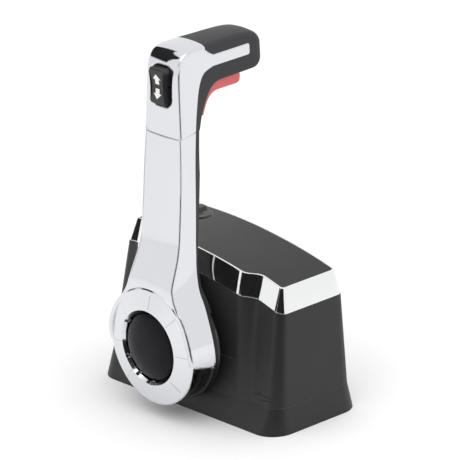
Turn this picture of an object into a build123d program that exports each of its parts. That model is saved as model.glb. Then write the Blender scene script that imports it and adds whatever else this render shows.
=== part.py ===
from build123d import *
from math import atan2, cos, degrees, pi, radians, sin, sqrt
import os

# Boat throttle control, single lever, side hub.  Millimetres.
# Frame: origin at the middle of the base's underside, +Z up, the lever's pivot along X
# with the hub on the -X side, the boat's bow towards +Y.

# ---- housing outline ----
BASE_LEN = 186.0          # along Y, at the deck
BASE_WID = 85.0           # along X, at the deck
BASE_CORNER_R = 17.4
SEAM_Z = 18.5             # joint between base and cover
WALL = 3.0
SIDE_PAD = 37.9           # -X side by the hub, at the seam
SIDE_END = 35.2           # -X side near both ends, at the seam
SIDE_FAR = 38.0           # +X side, at the seam
FRONT = 89.3              # -Y end, at the seam
REAR = 89.5               # +Y end, at the seam
PAD_DRAFT = 0.075         # inward travel per millimetre of height
END_DRAFT = 0.145
FAR_DRAFT = 0.048
FRONT_DRAFT = 0.028
REAR_DRAFT = 0.165
PAD_HALF = 50.0           # the side is full width over this half length
PAD_STEP = 16.0           # length of the curve down to the narrow ends
SEAM_CORNER_R = 11.0
CORNER_CLOSE = 0.062      # the corners tighten by this per millimetre of height
LOFT_TOP_Z = 132.0
LID_APEX_Y = 35.0
LID_APEX_Z = 118.6
LID_R = 463.0             # crown of the lid, seen from the side
TRIM_H = 15.5
TRIM_LEAN = 3.2           # how far the bright trim leans in over its height
TRIM_LIP = 1.2            # thin bright rim round the lid
LEDGE = 2.1               # lid's seat inside the trim
LID_T = 3.0
LID_FIT = 0.2
FIT = 0.1                 # gap round parts that drop into one another
SEAM_GAP = 0.25

# ---- base ----
FLOOR_T = 4.0
CABLE_SLOT_X = 30.0
CABLE_SLOT_Y = 96.0
TONGUE_HALF_LOW = 51.0
TONGUE_HALF_TOP = 48.5
TONGUE_TOP_Z = 47.0
LIP_H = 4.0
LIP_T = 1.6
GASKET_W = 5.0
GASKET_T = 2.0
GASKET_INSET = 3.0
DECK_HOLE_R = 3.25
DECK_HOLE_X = 46.0        # spacing of the four deck screws
DECK_HOLE_Y = 132.0
DECK_PAD_R = 7.0
COVER_SCREW_X = 44.0      # spacing of the four cover screws
COVER_SCREW_Y = 158.0
COVER_SCREW_SHIFT = 0.5
COVER_POST_R = 4.6
COVER_POST_TOP = 62.0
COVER_SCREW_R = 2.0
COVER_SCREW_LEN = 26.0
SCREW_HEAD_R = 3.8
SCREW_HEAD_T = 2.4
SCOOP_Y = 76.0            # finger scoop at the cover's lower edge

# ---- pivot ----
HUB_Z = 53.4
SHAFT_R = 9.0
SHAFT_RUN = 0.05          # running clearance in the bushes
SHAFT_END_X = 30.0
SHAFT_HUB_X = -62.0
PASSAGE_R = 15.0
SEAL_R = 14.8

# ---- chassis ----
PLATE_T = 3.0
PLATE_LEFT_X = -26.0      # outer face of the left cheek
PLATE_RIGHT_X = 26.0      # outer face of the right cheek
CHASSIS_HALF_Y = 42.0
CHEEK_TOP_R = 20.0
BUSH_R = 12.0
BUSH_FLANGE_R = 15.0
BUSH_FLANGE_T = 1.5
CHASSIS_SCREW_Y = 48.0
CHASSIS_SCREW_X = 36.0

# ---- gears and arms inside ----
GEAR_MOD = 2.5
GEAR_TEETH = 16
GEAR_T = 6.0
GEAR_X = 8.0
GEAR_SLACK = 0.5
DETENT_X = -15.0
DETENT_R = 21.0
DETENT_T = 5.0
ARM_LEN = 26.0
ARM_T = 3.0
THROTTLE_X = 19.0

# ---- lever ----
LEVER_TOP_Z = 290.0
HUB_R = 43.0              # cover's radius at the ring
HUB_FLARE = 0.14          # growth of that radius per millimetre towards the housing
RING_BACK_X = -67.0
SIDE_DRAFT = 0.29         # the arm narrows by this towards the housing
ARM_FILLET = 27.0
ROOT_Z = 125.0            # the arm's sides turn straight here
MID_Z = 190.0
HEAD_Z = 240.0            # the arm is as narrow as the grip from here up
HEAD_DRAFT = 0.064
JOIN_EASE = 0.15          # the grip's root is this much slimmer than the arm it meets
SPLIT_Z = 204.0           # joint between the lower and upper bright covers
COVER_WALL = 2.0
BACK_T = 4.5
# Height, depth and bow (over 20 mm either way) of the outer face
LOOK_FACE = ((0.0, -64.0, 0.05), (70.0, -63.6, 0.05), (95.0, -61.4, 0.7), (120.0, -58.4, 1.5),
             (160.0, -53.6, 1.6), (204.0, -49.4, 1.6), (245.0, -46.0, 1.5), (295.0, -42.4, 1.4))
SKIRT_END_Z = 40.0

# ---- hub ----
RING_R = 42.6
RING_FACE_X = -72.5
RING_RIM_X = -69.3
RING_HOLE_R = 25.7
RING_NECK_T = 1.6
CORE_BACK_X = -41.5
CORE_R = 43.3
BUTTON_GAP = 1.3
BUTTON_FACE_X = -72.2
BUTTON_DOME = 3.0
BUTTON_TRAVEL = 5.0

# ---- grip ----
GRIP_HALF_Y = 15.4
GRIP_TOP_Z = 271.5
GRIP_LOW_Z = 236.0
GRIP_SIDE_Z = 261.0       # top of the flat side
GRIP_END_X = 34.0
GRIP_WALL = 2.4
STRIPE_LOW_Z = 248.0
STRIPE_H = 8.0
STRIPE_END_X = 21.0
TRIGGER_HALF_Y = 11.5
TRIGGER_END_X = 14.5
TRIGGER_T = 7.5
TRIGGER_TRAVEL = 5.0
TRIGGER_FIT = 0.45
LEAN = 7.3                # slope of the lock rod from upright, degrees

# ---- rocker ----
ROCKER_Z = 240.5
ROCKER_L = 29.0
ROCKER_W = 20.5
ROCKER_TILT = 9.0


def outline(z, inset=0.0):
    """Cover's plan outline at height z, moved inwards by inset."""
    up = z - SEAM_Z
    pad = SIDE_PAD - PAD_DRAFT * up - inset
    end = SIDE_END - END_DRAFT * up - inset
    far = SIDE_FAR - FAR_DRAFT * up - inset
    front = FRONT - FRONT_DRAFT * up - inset
    rear = REAR - REAR_DRAFT * up - inset
    corner = max(SEAM_CORNER_R - CORNER_CLOSE * max(up, 0) - inset, 1.0)
    return plan_face(pad, end, far, front, rear, corner, z)


def plan_face(pad, end, far, front, rear, r, z):
    """Closed outline with the wide pad at -X, narrower ends and round corners."""
    a = PAD_HALF
    b = PAD_HALF + PAD_STEP
    k = r * (1 - sqrt(0.5))
    edges = [
        Line((-end, -front + r), (-end, -b)),
        Spline((-end, -b), (-pad, -a), tangents=((0, 1), (0, 1))),
        Line((-pad, -a), (-pad, a)),
        Spline((-pad, a), (-end, b), tangents=((0, 1), (0, 1))),
        Line((-end, b), (-end, rear - r)),
        ThreePointArc((-end, rear - r), (-end + k, rear - k), (-end + r, rear)),
        Line((-end + r, rear), (far - r, rear)),
        ThreePointArc((far - r, rear), (far - k, rear - k), (far, rear - r)),
        Line((far, rear - r), (far, -front + r)),
        ThreePointArc((far, -front + r), (far - k, -front + k), (far - r, -front)),
        Line((far - r, -front), (-end + r, -front)),
        ThreePointArc((-end + r, -front), (-end + k, -front + k), (-end, -front + r)),
    ]
    return Pos(0, 0, z) * make_face(Wire(edges))


def cover_loft(inset=0.0, low=SEAM_Z, high=LOFT_TOP_Z):
    return loft([outline(low, inset), outline(high, inset)], ruled=True)


def crown(drop):
    """Everything under the lid's crown lowered by drop."""
    barrel = Rot(0, 90, 0) * Cylinder(LID_R - drop, 200)
    return Pos(0, LID_APEX_Y, LID_APEX_Z - LID_R) * barrel


def slab(x0, x1, y0, y1, z0, z1):
    """Plain block between two corners."""
    return Pos((x0 + x1) / 2, (y0 + y1) / 2, (z0 + z1) / 2) * Box(x1 - x0, y1 - y0, z1 - z0)


def rod_x(r, x0, x1, y=0.0, z=HUB_Z):
    """Round bar along X."""
    return Pos((x0 + x1) / 2, y, z) * Rot(0, 90, 0) * Cylinder(r, x1 - x0)


def rod_z(r, x, y, z0, z1):
    """Round bar along Z."""
    return Pos(x, y, (z0 + z1) / 2) * Cylinder(r, z1 - z0)


def turn_x(points):
    """Solid of revolution about the pivot, from (x, radius) points."""
    face = make_face(Polyline(*[(x, r) for x, r in points], close=True))
    turned = revolve(face, Axis.X)
    return Pos(0, 0, HUB_Z) * turned


def trim_block():
    """Band between the cover's crowned top edge and the lid's, leaning inwards."""
    below = cover_loft() & crown(TRIM_H)
    above = cover_loft(TRIM_LEAN) & crown(0)
    caps = [b.faces().filter_by(GeomType.CYLINDER).sort_by(SortBy.AREA)[-1] for b in (below, above)]
    sides = Shell.make_loft([c.outer_wire() for c in caps], ruled=True)
    return Part(Solid(Shell(caps + list(sides.faces()))).wrapped)


def mirrored(solid_at, xs, ys):
    """The same solid at each pair of places."""
    return [solid_at(x, y) for x in xs for y in ys]


def screw_up(x, y, z, r, length, head_r=SCREW_HEAD_R, head_t=SCREW_HEAD_T):
    """Pan-head screw driven upwards, its head under z."""
    head = Pos(x, y, z - head_t / 2) * Cylinder(head_r, head_t)
    head = fillet(head.edges().group_by(Axis.Z)[0], 0.8)
    cross = [Pos(x, y, z - head_t) * Rot(0, 0, a) * Box(head_r, 0.9, 2.2) for a in (0, 90)]
    return head + rod_z(r, x, y, z - 0.2, z + length) - cross


# ---------------------------------------------------------------- housing

def tongue_zone(gap=0.0):
    """Side region, below the shaft, that belongs to the base and not to the cover."""
    corners = [
        (-TONGUE_HALF_LOW - gap, SEAM_Z - 1), (-TONGUE_HALF_TOP - gap, TONGUE_TOP_Z + gap),
        (TONGUE_HALF_TOP + gap, TONGUE_TOP_Z + gap), (TONGUE_HALF_LOW + gap, SEAM_Z - 1),
    ]
    face = Plane.YZ * make_face(Polyline(*corners, close=True))
    return Pos(-70, 0, 0) * extrude(face, 52)


def base_outer():
    low = RectangleRounded(BASE_WID, BASE_LEN, BASE_CORNER_R)
    body = extrude(low, SEAM_Z, taper=0)
    drafted = loft([plan_face(BASE_WID / 2, BASE_WID / 2 - 0.01, BASE_WID / 2, BASE_LEN / 2,
                              BASE_LEN / 2, BASE_CORNER_R, 0), outline(SEAM_Z)], ruled=True)
    return drafted & body


def base():
    """Lower housing: floor, drafted rim, lip inside the cover and the tongue under the shaft."""
    rim = base_outer()
    hollow = loft([plan_face(BASE_WID / 2 - WALL - 1.0, BASE_WID / 2 - WALL - 1.01,
                             BASE_WID / 2 - WALL - 1.0, BASE_LEN / 2 - WALL - 1.0,
                             BASE_LEN / 2 - WALL - 1.0, BASE_CORNER_R - WALL, 0),
                   outline(SEAM_Z, WALL)], ruled=True)
    shell = rim - (hollow & slab(-60, 60, -120, 120, FLOOR_T, 60))
    lip = cover_loft(WALL + FIT, SEAM_Z, SEAM_Z + LIP_H) - cover_loft(WALL + FIT + LIP_T, SEAM_Z, 40)
    root = loft([outline(SEAM_Z - 3, WALL - 0.6), outline(SEAM_Z, WALL - 0.6)], ruled=True)
    root -= loft([outline(SEAM_Z - 3, WALL + FIT + LIP_T), outline(SEAM_Z, WALL + FIT + LIP_T)],
                 ruled=True)
    tongue = (cover_loft() - cover_loft(WALL)) & tongue_zone()
    body = shell + (lip + root) + tongue
    body -= rod_x(PASSAGE_R, -60, -20)
    posts = mirrored(lambda x, y: rod_z(DECK_PAD_R, x, y, FLOOR_T - 1, FLOOR_T + 2),
                     (-DECK_HOLE_X / 2, DECK_HOLE_X / 2), (-DECK_HOLE_Y / 2, DECK_HOLE_Y / 2))
    sockets = mirrored(lambda x, y: rod_z(COVER_POST_R + 1.6, x, y + COVER_SCREW_SHIFT, 1, SEAM_Z - FIT),
                       (-COVER_SCREW_X / 2, COVER_SCREW_X / 2),
                       (-COVER_SCREW_Y / 2, COVER_SCREW_Y / 2))
    body = body + posts + sockets
    body -= mirrored(lambda x, y: rod_z(DECK_HOLE_R, x, y, -1, 12),
                     (-DECK_HOLE_X / 2, DECK_HOLE_X / 2), (-DECK_HOLE_Y / 2, DECK_HOLE_Y / 2))
    body -= mirrored(lambda x, y: rod_z(SCREW_HEAD_R + 0.4, x, y + COVER_SCREW_SHIFT, -1, 8),
                     (-COVER_SCREW_X / 2, COVER_SCREW_X / 2),
                     (-COVER_SCREW_Y / 2, COVER_SCREW_Y / 2))
    body -= mirrored(lambda x, y: rod_z(COVER_SCREW_R + 0.3, x, y + COVER_SCREW_SHIFT, 0, 30),
                     (-COVER_SCREW_X / 2, COVER_SCREW_X / 2),
                     (-COVER_SCREW_Y / 2, COVER_SCREW_Y / 2))
    body -= Pos(0, 0, 2) * extrude(RectangleRounded(CABLE_SLOT_X, CABLE_SLOT_Y, 8), 20, both=True)
    body -= gasket_zone(FIT)
    body -= mirrored(lambda x, y: rod_z(1.6, x, y, 1, 12),
                     (-CHASSIS_SCREW_X / 2, CHASSIS_SCREW_X / 2),
                     (-CHASSIS_SCREW_Y / 2, CHASSIS_SCREW_Y / 2))
    return body


def gasket_zone(gap=0.0):
    """Flat ring just inside the base's outer edge."""
    out = RectangleRounded(BASE_WID - 2 * GASKET_INSET + 2 * gap,
                           BASE_LEN - 2 * GASKET_INSET + 2 * gap, BASE_CORNER_R - GASKET_INSET + gap)
    k = GASKET_INSET + GASKET_W + gap
    inner = RectangleRounded(BASE_WID - 2 * k, BASE_LEN - 2 * k, BASE_CORNER_R - k)
    return extrude(out - inner, GASKET_T + gap)


def deck_gasket():
    return gasket_zone()


def upper_cover():
    """Tapered casing, open below and above, notched over the tongue and the shaft."""
    body = (cover_loft() - cover_loft(WALL)) & crown(TRIM_H)
    posts = mirrored(lambda x, y: rod_z(COVER_POST_R, x, y + COVER_SCREW_SHIFT, SEAM_Z + 0.2,
                                        COVER_POST_TOP),
                     (-COVER_SCREW_X / 2, COVER_SCREW_X / 2),
                     (-COVER_SCREW_Y / 2, COVER_SCREW_Y / 2))
    ribs = [slab(-60, 60, s * COVER_SCREW_Y / 2 + COVER_SCREW_SHIFT - 1.0,
                 s * COVER_SCREW_Y / 2 + COVER_SCREW_SHIFT + 1.0, SEAM_Z + LIP_H + 1, COVER_POST_TOP)
            for s in (-1, 1)]
    ribs = [r - slab(-COVER_SCREW_X / 2, COVER_SCREW_X / 2, -120, 120, 0, 90) for r in ribs]
    body += (posts[0] + posts[1:] + ribs) & cover_loft(WALL - 0.5)
    body -= tongue_zone(SEAM_GAP)
    body -= rod_x(PASSAGE_R, -60, -20)
    body -= slab(-60, -20, -PASSAGE_R, PASSAGE_R, SEAM_Z, HUB_Z)
    body -= mirrored(lambda x, y: rod_z(COVER_SCREW_R, x, y + COVER_SCREW_SHIFT, 0,
                                        SEAM_Z + COVER_SCREW_LEN),
                     (-COVER_SCREW_X / 2, COVER_SCREW_X / 2),
                     (-COVER_SCREW_Y / 2, COVER_SCREW_Y / 2))
    body -= slab(-90, 90, -120, 120, 0, SEAM_Z + SEAM_GAP)
    scoop = Pos(-33.6, -SCOOP_Y, 25.5) * Rot(0, 0, 10) * scale(Sphere(1), by=(2.6, 9.0, 3.0))
    return body - scoop


def chrome_trim():
    """Bright band round the casing's top with a thin lip round the lid."""
    body = trim_block() - cover_loft(TRIM_LEAN + TRIM_LIP + LEDGE)
    seat = cover_loft(TRIM_LEAN + TRIM_LIP) - crown(LID_T)
    return body - seat


def lid_panel():
    """Crowned lid dropped into the trim, with the round hole of the stop switch."""
    body = cover_loft(TRIM_LEAN + TRIM_LIP + LID_FIT, SEAM_Z, LOFT_TOP_Z) & crown(0)
    body -= crown(LID_T - FIT)
    return body - stop_frame() * Cylinder(STOP_HOLE_R, 40)


def cover_screws():
    return mirrored(lambda x, y: screw_up(x, y + COVER_SCREW_SHIFT, 8 - 0.05, COVER_SCREW_R - 0.05,
                                          COVER_SCREW_LEN),
                    (-COVER_SCREW_X / 2, COVER_SCREW_X / 2), (-COVER_SCREW_Y / 2, COVER_SCREW_Y / 2))


# ---------------------------------------------------------------- stop switch

STOP_Y = 37.5
STOP_X = 13.5
STOP_HOLE_R = 6.6
STOP_BEZEL_R = 9.5
STOP_BEZEL_H = 1.4
STOP_BODY_L = 24.0
STOP_PLUNGER_R = 4.0
STOP_CLEAR = 0.08
STOP_TRAVEL = 1.5
STOP_CAP_Z = 3.4


def stop_frame():
    """Placement of the stop switch: on the lid, square to its crown."""
    dy = STOP_Y - LID_APEX_Y
    z = LID_APEX_Z - LID_R + sqrt(LID_R ** 2 - dy ** 2)
    return Pos(STOP_X, STOP_Y, z) * Rot(-degrees(dy / LID_R), 0, 0)


def stop_bezel():
    """Round bezel on the lid with the switch barrel hanging below it."""
    ring = Pos(0, 0, STOP_BEZEL_H / 2 + 0.1) * Cylinder(STOP_BEZEL_R, STOP_BEZEL_H)
    ring = fillet(ring.edges().group_by(Axis.Z)[-1], 0.8)
    barrel = Pos(0, 0, 0.2 - STOP_BODY_L / 2) * Cylinder(STOP_HOLE_R - 0.2, STOP_BODY_L)
    bore = Pos(0, 0, 0) * Cylinder(STOP_PLUNGER_R + STOP_CLEAR, 2 * STOP_BODY_L - 8)
    return stop_frame() * (ring + barrel - bore)


def stop_nut():
    """Thin nut that clamps the switch barrel from inside the lid."""
    nut = extrude(RegularPolygon(9.4, 6), 3) - Pos(0, 0, 0) * Cylinder(STOP_HOLE_R - 0.15, 20)
    return stop_frame() * Pos(0, 0, -LID_T - 3.4) * nut


def stop_plunger():
    """Stem with the raised block that the lanyard clip grips."""
    stem = Pos(0, 0, -6.5) * Cylinder(STOP_PLUNGER_R, 17)
    neck = Pos(0, 0, 2.4) * Cylinder(STOP_PLUNGER_R - 1.2, 2.4)
    cap = loft([Pos(0, 0, STOP_CAP_Z) * RectangleRounded(10.5, 8.5, 2.0),
                Pos(0, 0, STOP_CAP_Z + 3.2) * RectangleRounded(8.6, 6.6, 1.6)])
    return stop_frame() * (stem + neck + cap)


# ---------------------------------------------------------------- chassis and mechanism

FLOOR_Z = FLOOR_T
PLATE_Z = FLOOR_T + PLATE_T
GEAR_PITCH_R = GEAR_MOD_R = 16.0
GEAR_GAP = GEAR_SLACK
AXLE_R = 5.0
AXLE_ANGLE = 225.0        # direction of the second axle, seen along X


def axle_place():
    """Y and Z of the second axle."""
    d = 2 * GEAR_PITCH_R + GEAR_GAP
    return d * cos(radians(AXLE_ANGLE)), HUB_Z + d * sin(radians(AXLE_ANGLE))


def cheek(x0, x1):
    """Upright plate of the chassis, tapering to a round top about the shaft."""
    span = CHASSIS_HALF_Y
    foot = Polyline((-span, FLOOR_Z), (span, FLOOR_Z), (span, FLOOR_Z + 10),
                    (CHEEK_TOP_R * 0.94, HUB_Z + CHEEK_TOP_R * 0.34),
                    (-CHEEK_TOP_R * 0.94, HUB_Z + CHEEK_TOP_R * 0.34), (-span, FLOOR_Z + 10), close=True)
    plate = extrude(Plane.YZ * make_face(foot), x1 - x0)
    plate = Pos(x0, 0, 0) * plate + rod_x(CHEEK_TOP_R, x0, x1)
    window = extrude(Plane.YZ * (Pos(22, 20) * Circle(7)), x1 - x0 + 2)
    return plate - Pos(x0 - 1, 0, 0) * window


def chassis():
    """Folded steel plate: floor with an open middle and two cheeks that carry the bushes."""
    floor = slab(PLATE_LEFT_X, PLATE_RIGHT_X, -CHASSIS_HALF_Y, CHASSIS_HALF_Y, FLOOR_Z, PLATE_Z)
    left = cheek(PLATE_LEFT_X, PLATE_LEFT_X + PLATE_T)
    right = cheek(PLATE_RIGHT_X - PLATE_T, PLATE_RIGHT_X)
    body = floor + left + right
    y, z = axle_place()
    body -= rod_x(BUSH_R + 0.01, PLATE_LEFT_X - 2, PLATE_RIGHT_X + 2)
    body -= rod_x(AXLE_R + SHAFT_RUN, PLATE_LEFT_X - 2, PLATE_RIGHT_X + 2, y, z)
    body -= extrude(RectangleRounded(22, 52, 6), 30)
    body -= mirrored(lambda x, y: rod_z(1.6, x, y, 0, 12),
                     (-CHASSIS_SCREW_X / 2, CHASSIS_SCREW_X / 2),
                     (-CHASSIS_SCREW_Y / 2, CHASSIS_SCREW_Y / 2))
    return body


def bushes():
    """Flanged bronze bush in each cheek."""
    pair = []
    for x0, x1, f0, f1 in ((PLATE_LEFT_X, PLATE_LEFT_X + PLATE_T, PLATE_LEFT_X - BUSH_FLANGE_T, PLATE_LEFT_X),
                           (PLATE_RIGHT_X - PLATE_T, PLATE_RIGHT_X, PLATE_RIGHT_X,
                            PLATE_RIGHT_X + BUSH_FLANGE_T)):
        bush = rod_x(BUSH_R, x0, x1) + rod_x(BUSH_FLANGE_R, f0, f1)
        pair.append(bush - rod_x(SHAFT_R + SHAFT_RUN, x0 - 9, x1 + 9))
    return pair


def chassis_screws():
    """Pan-head screws down through the chassis floor into the base."""
    def one(x, y):
        screw = screw_up(0, 0, 0, 1.5, 5.6, 3.0, 1.8)
        return Pos(x, y, PLATE_Z) * Rot(180, 0, 0) * screw
    return mirrored(one, (-CHASSIS_SCREW_X / 2, CHASSIS_SCREW_X / 2),
                    (-CHASSIS_SCREW_Y / 2, CHASSIS_SCREW_Y / 2))


def main_shaft():
    """Steel shaft from the hub through both bushes, with a square root for the hub core."""
    shaft = rod_x(SHAFT_R, SHAFT_HUB_X, SHAFT_END_X)
    return chamfer(shaft.edges().filter_by(GeomType.CIRCLE), 0.8)


def shaft_seal():
    """Rubber lip ring that closes the passage round the shaft."""
    ring = rod_x(SEAL_R, -36.0, -32.0) - rod_x(SHAFT_R + 0.1, -40, -30)
    groove = rod_x(SEAL_R - 1.5, -37.0, -35.0) - rod_x(SHAFT_R + 1.5, -37.5, -34)
    return ring - groove


def shaft_collar():
    x0 = PLATE_RIGHT_X + BUSH_FLANGE_T + 0.1
    ring = rod_x(13.0, x0, x0 + 3.4) - rod_x(SHAFT_R + 0.01, x0 - 1, x0 + 6)
    return ring - rod_z(1.4, x0 + 1.7, 0, HUB_Z + 8, HUB_Z + 20)


def detent_disc():
    """Disc on the shaft with a notch for neutral and one for each gear."""
    disc = rod_x(DETENT_R, DETENT_X - DETENT_T / 2, DETENT_X + DETENT_T / 2)
    hub = rod_x(SHAFT_R + 4, DETENT_X - DETENT_T / 2, DETENT_X + DETENT_T / 2 + 4)
    notches = [rod_x(3.2, DETENT_X - 9, DETENT_X + 9, (DETENT_R + 1.4) * cos(radians(a)),
                     HUB_Z + (DETENT_R + 1.4) * sin(radians(a))) for a in (-30, 0, 30)]
    return disc + hub - notches - rod_x(SHAFT_R + 0.01, -40, 10)


def detent_spring():
    """Bent leaf that presses the roller towards the detent disc."""
    path = [(41, PLATE_Z), (DETENT_R + 6.4, PLATE_Z), (DETENT_R + 6.4, HUB_Z + 8),
            (DETENT_R + 7.6, HUB_Z + 8), (DETENT_R + 7.6, PLATE_Z + 1.2), (41, PLATE_Z + 1.2)]
    leaf = extrude(Plane.YZ * make_face(Polyline(*path, close=True)), 8)
    leaf = Pos(DETENT_X - 4, 0, 0) * leaf
    ears = [slab(x, x + 0.8, DETENT_R + 2, DETENT_R + 6.6, HUB_Z - 3, HUB_Z + 3)
            for x in (DETENT_X - 4, DETENT_X + 3.2)]
    pin = rod_x(1.0, DETENT_X - 4, DETENT_X + 4, DETENT_R + 3.35)
    return leaf + ears + pin


def detent_roller():
    return rod_x(3.0, DETENT_X - 3.0, DETENT_X + 3.0, DETENT_R + 3.35) - \
        rod_x(1.05, DETENT_X - 9, DETENT_X + 9, DETENT_R + 3.35)


def gear(phase):
    """Flat spur gear about X at the origin; phase is the angle of one tooth."""
    pitch = 2 * pi * GEAR_PITCH_R / GEAR_TEETH
    half = 0.21 * pitch
    add = 1.6
    ded = 2.1
    flank = 0.36
    tooth = Polyline((GEAR_PITCH_R - ded - 1, half + (ded + 1) * flank), (GEAR_PITCH_R + add, half - add * flank),
                     (GEAR_PITCH_R + add, -half + add * flank),
                     (GEAR_PITCH_R - ded - 1, -half - (ded + 1) * flank), close=True)
    face = Circle(GEAR_PITCH_R - ded)
    for k in range(GEAR_TEETH):
        face += Rot(0, 0, phase + 360 * k / GEAR_TEETH) * make_face(tooth)
    return extrude(Plane.YZ * face, GEAR_T)


def drive_gear():
    """Gear fixed on the main shaft."""
    body = Pos(GEAR_X - GEAR_T / 2, 0, HUB_Z) * gear(AXLE_ANGLE)
    body += rod_x(SHAFT_R + 4, GEAR_X - GEAR_T / 2 - 4, GEAR_X)
    return body - rod_x(SHAFT_R + 0.01, -10, 30)


def driven_gear():
    """Gear on the second axle, turning the shift arm the other way."""
    y, z = axle_place()
    body = Pos(GEAR_X - GEAR_T / 2, y, z) * gear(AXLE_ANGLE - 180 + 180 / GEAR_TEETH)
    return body - rod_x(AXLE_R + 0.01, -10, 30, y, z)


def second_axle():
    """Axle in both cheeks with a wide head at each end."""
    y, z = axle_place()
    pin = rod_x(AXLE_R, PLATE_LEFT_X - 1.6, PLATE_RIGHT_X + 1.6, y, z)
    heads = [rod_x(AXLE_R + 1.6, x, x + 1.5, y, z) for x in (PLATE_LEFT_X - 1.6, PLATE_RIGHT_X + 0.1)]
    return pin + heads


def cable_arm(x0, y, z, angle, bore_r):
    """Flat arm about (y, z) with a wide eye on its axle and a hole for the cable pin."""
    eye = Circle(bore_r + 4.5)
    tip = Pos(ARM_LEN, 0) * Circle(5.0)
    blade = Pos(ARM_LEN / 2, 0) * Rectangle(ARM_LEN, 8.0)
    face = (eye + tip + blade) - Circle(bore_r + 0.01) - Pos(ARM_LEN, 0) * Circle(2.5)
    plate = extrude(Plane.YZ * (Rot(0, 0, angle) * face), ARM_T)
    return Pos(x0, y, z) * plate


def cable_pin(x0, y, z, angle):
    """Ball-ended pin riveted in a cable arm's tip."""
    py = y + ARM_LEN * cos(radians(angle))
    pz = z + ARM_LEN * sin(radians(angle))
    pin = rod_x(2.48, x0 - 0.6, x0 + ARM_T + 4.0, py, pz) + rod_x(3.6, x0 - 1.6, x0 - 0.02, py, pz)
    return pin + Pos(x0 + ARM_T + 5.5, py, pz) * Sphere(3.4)


def throttle_arm():
    return cable_arm(THROTTLE_X - ARM_T, 0, HUB_Z, 90, SHAFT_R)


def throttle_pin():
    return cable_pin(THROTTLE_X - ARM_T, 0, HUB_Z, 90)


def shift_arm():
    y, z = axle_place()
    return cable_arm(SHIFT_X, y, z, SHIFT_ANGLE, AXLE_R)


def shift_pin():
    y, z = axle_place()
    return cable_pin(SHIFT_X, y, z, SHIFT_ANGLE)


def cable_anchor():
    """Block on the chassis floor with two half-round seats for the cable ends."""
    block = slab(ANCHOR_X, ANCHOR_X + 24, 31, 41, PLATE_Z, PLATE_Z + 11)
    for x in (ANCHOR_X + 6.5, ANCHOR_X + 17.5):
        block -= Pos(x, 36, PLATE_Z + 11) * Rot(90, 0, 0) * Cylinder(4, 20)
    return block - rod_z(1.6, ANCHOR_X + 12, 36, PLATE_Z + 2, PLATE_Z + 20)


def cable_clamp():
    """Strap over the two cable seats, held by one screw."""
    strap = slab(ANCHOR_X, ANCHOR_X + 24, 32, 40, PLATE_Z + 11.05, PLATE_Z + 15)
    for x in (ANCHOR_X + 6.5, ANCHOR_X + 17.5):
        strap -= Pos(x, 36, PLATE_Z + 11) * Rot(90, 0, 0) * Cylinder(3.2, 20)
    return strap - rod_z(1.8, ANCHOR_X + 12, 36, PLATE_Z, PLATE_Z + 20)


def clamp_screw():
    screw = screw_up(0, 0, 0, 1.55, 11.0, 3.0, 1.8)
    return Pos(ANCHOR_X + 12, 36, PLATE_Z + 15.02) * Rot(180, 0, 0) * screw


def neutral_switch():
    """Small switch on the left cheek, its plunger just under the detent disc."""
    x0 = PLATE_LEFT_X + PLATE_T
    body = slab(x0, x0 + 10, -10, 10, 17, 28)
    body += slab(DETENT_X - 1.5, DETENT_X + 1.5, -2, 2, 27, HUB_Z - DETENT_R - 0.5)
    tags = [slab(x0 + 3, x0 + 7, y - 0.4, y + 0.4, 12, 17.5) for y in (-7, 0, 7)]
    return body + tags


SHIFT_X = -7.5
SHIFT_ANGLE = 140.0
ANCHOR_X = -4.0


# ---------------------------------------------------------------- lever shells

def half_width(x, z_key):
    """Half width of the lever at depth x, for the four heights that shape it."""
    return {
        "hub": 25.5 - SIDE_DRAFT * (x + 64.0),
        "root": 20.7 - SIDE_DRAFT * (x + 57.8),
        "mid": 19.3 - SIDE_DRAFT * (x + 50.8),
        "head": 15.4 - HEAD_DRAFT * (x + 26.5),
        "top": 15.4 + 0.11 * (x + 26.5),
    }[z_key]


def arm_side(x, inset, sign=1):
    """One side of the arm at depth x, from its root up to the head: a curve, then straight."""
    root, mid, top, end = [sign * (half_width(x, k) - inset) for k in ("root", "mid", "head", "top")]
    curve = Spline((root, ROOT_Z), (mid, MID_Z), (top, HEAD_Z),
                   tangents=((mid - root, MID_Z - ROOT_Z), (0, 1)))
    return curve, Line((top, HEAD_Z), (end, LEVER_TOP_Z))


def arm_outline(x, inset):
    """Lever's front outline in the plane at depth x: round hub, flared neck and arm."""
    hub_r = HUB_R + HUB_FLARE * (x - RING_BACK_X) - inset
    hub, root, top = [half_width(x, k) - inset for k in ("hub", "root", "top")]
    arm_edges = [
        Line((-hub, HUB_Z), (hub, HUB_Z)), Line((hub, HUB_Z), (root, ROOT_Z)), *arm_side(x, inset),
        Line((top, LEVER_TOP_Z), (-top, LEVER_TOP_Z)), *arm_side(x, inset, -1),
        Line((-root, ROOT_Z), (-hub, HUB_Z)),
    ]
    face = make_face(Wire(arm_edges)) + Pos(0, HUB_Z) * Circle(hub_r)
    necks = [v for v in face.vertices() if HUB_Z + 5 < v.Y < ROOT_Z - 1]
    face = fillet(necks, ARM_FILLET + inset)
    return Plane.YZ.offset(x) * face


def wedge(inset=0.0):
    """Whole lever outline, narrowing towards the housing."""
    return loft([arm_outline(-76, inset), arm_outline(-26, inset)], ruled=True)


def look_face(inset=0.0):
    """Everything behind the lever's bowed outer face."""
    sections = []
    for z, x, crown_at_20 in LOOK_FACE:
        bow = crown_at_20 * (60 / 20) ** 2
        arc = ThreePointArc((x + bow + inset, -60), (x + inset, 0), (x + bow + inset, 60))
        back = Polyline((x + bow + inset, 60), (20, 60), (20, -60), (x + bow + inset, -60))
        sections.append(Pos(0, 0, z) * make_face(Wire([arc, *back.edges()])))
    return loft(sections)


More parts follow.
